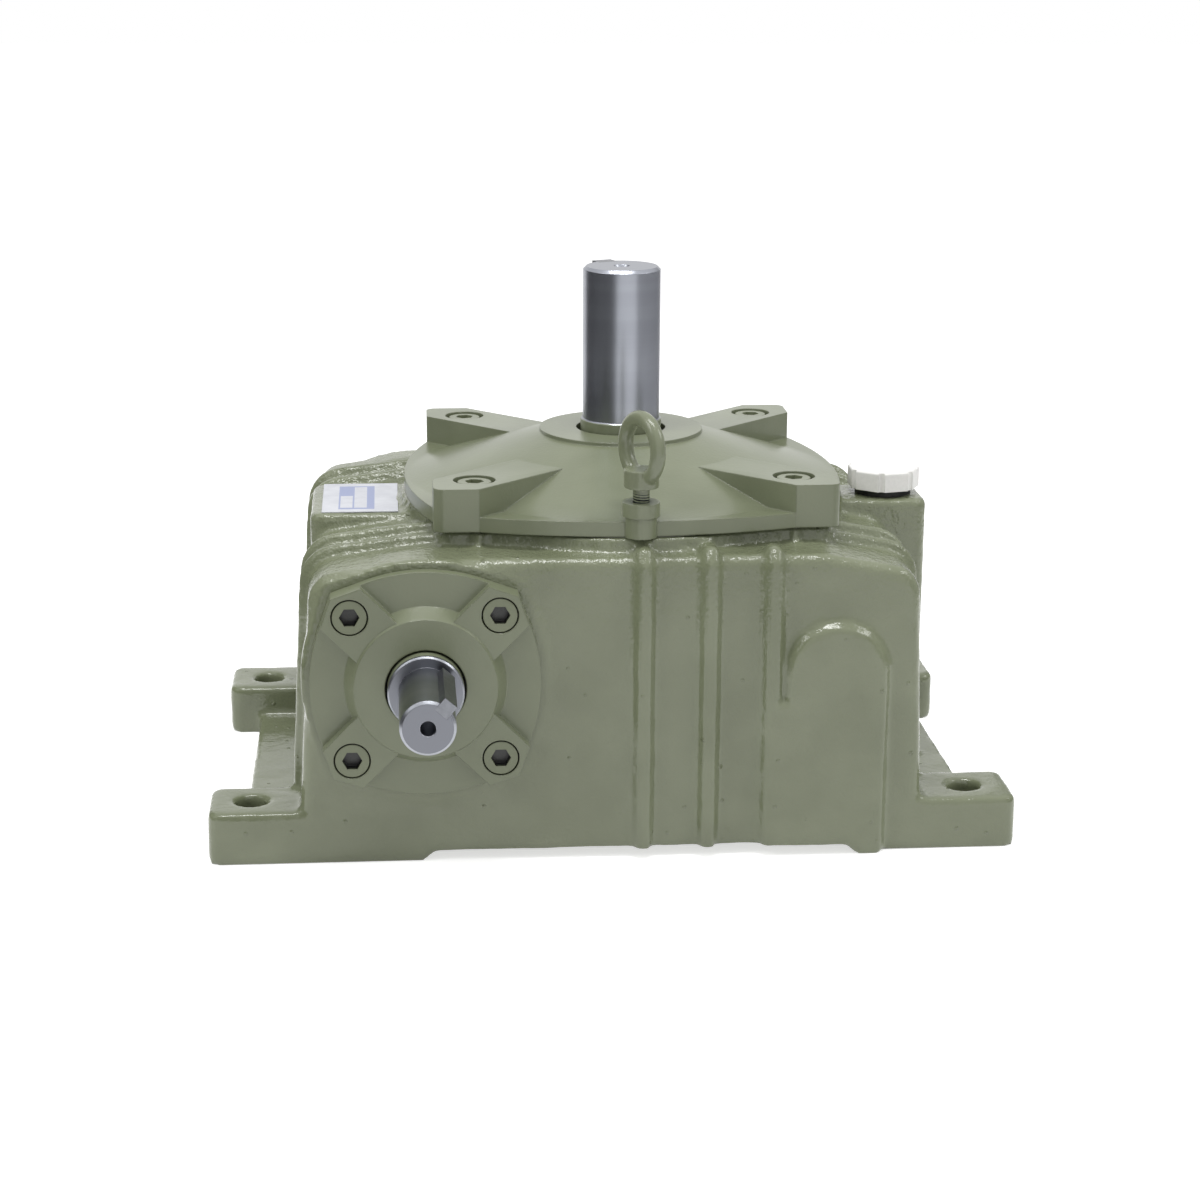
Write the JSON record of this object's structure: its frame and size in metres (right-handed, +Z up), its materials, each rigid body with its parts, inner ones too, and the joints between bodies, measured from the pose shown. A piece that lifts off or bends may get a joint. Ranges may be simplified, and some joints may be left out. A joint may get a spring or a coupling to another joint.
{
  "type": "worm gear reducer",
  "caption": "Foot-mounted worm gear reducer in a ribbed grey-green iron casting, with a keyed output shaft standing up and a keyed worm shaft at one side.",
  "frame": {"origin": "on the floor under the axis of the output shaft", "axes": "+Z up along the output shaft, -Y the way the worm shaft's keyed end points, +X from the worm towards the wheel"},
  "size_m": [0.382, 0.3232, 0.262],
  "materials": {
    "enamelled_iron": "rough grey-green enamel over the casting",
    "painted_cover": "smooth grey-green enamel",
    "gasket_paper": "dark oiled paper",
    "black_screw": "black oxide",
    "painted_screw": "enamel over black oxide",
    "seal_rubber": "satin",
    "plate_aluminium": "satin",
    "white_plastic": "satin",
    "bright_steel": "zinc plated",
    "clear_glass": "polished",
    "washer_copper": "satin",
    "ground_steel": "ground",
    "bearing_steel": "polished",
    "raw_iron": "bare casting",
    "bronze": "machined"
  },
  "bodies": {
    "casting": {"housing": "enamelled_iron", "top_cover": "painted_cover", "top_cover_gasket": "gasket_paper", "top_cover_screws": "painted_screw", "output_seal": "seal_rubber", "bottom_end_cap": "seal_rubber", "front_cover": "painted_cover", "front_gasket": "gasket_paper", "front_cover_screws": "painted_screw", "input_seal": "seal_rubber", "rear_cover": "painted_cover", "rear_gasket": "gasket_paper", "rear_cover_screws": "painted_screw", "name_plate": "plate_aluminium", "filler_cap": "white_plastic", "filler_seal": "seal_rubber", "eye_bolt": "painted_screw", "oil_gauge_body": "plate_aluminium", "oil_gauge_glass": "clear_glass", "drain_plug": "bright_steel", "drain_washer": "washer_copper", "upper_bearing_cup": "bearing_steel", "lower_bearing_cup": "bearing_steel", "front_bearing_cup": "bearing_steel", "rear_bearing_cup": "bearing_steel"},
    "output": {"output_shaft": "ground_steel", "output_key": "ground_steel", "wheel_key": "ground_steel", "wheel_centre": "raw_iron", "wheel_rim": "bronze", "rim_screws": "black_screw", "bearing_spacer": "ground_steel", "upper_bearing_cone": "bearing_steel", "upper_bearing_rollers": "bearing_steel", "upper_bearing_cage": "bearing_steel", "lower_bearing_cone": "bearing_steel", "lower_bearing_rollers": "bearing_steel", "lower_bearing_cage": "bearing_steel"},
    "worm": {"worm_shaft": "ground_steel", "input_key": "ground_steel", "front_bearing_cone": "bearing_steel", "front_bearing_rollers": "bearing_steel", "front_bearing_cage": "bearing_steel", "rear_bearing_cone": "bearing_steel", "rear_bearing_rollers": "bearing_steel", "rear_bearing_cage": "bearing_steel"}
  },
  "joints": [
    {"name": "output_spin", "type": "hinge", "parent": "casting", "child": "output", "pos_m": [0, 0, 0.2], "axis": [0, 0, 1], "continuous": true},
    {"name": "worm_spin", "type": "hinge", "parent": "casting", "child": "worm", "pos_m": [-0.1, 0, 0.089], "axis": [0, -1, 0], "continuous": true}
  ],
  "couplings": [
    {"joint": "worm_spin", "follows": "output_spin", "ratio": -20}
  ]
}
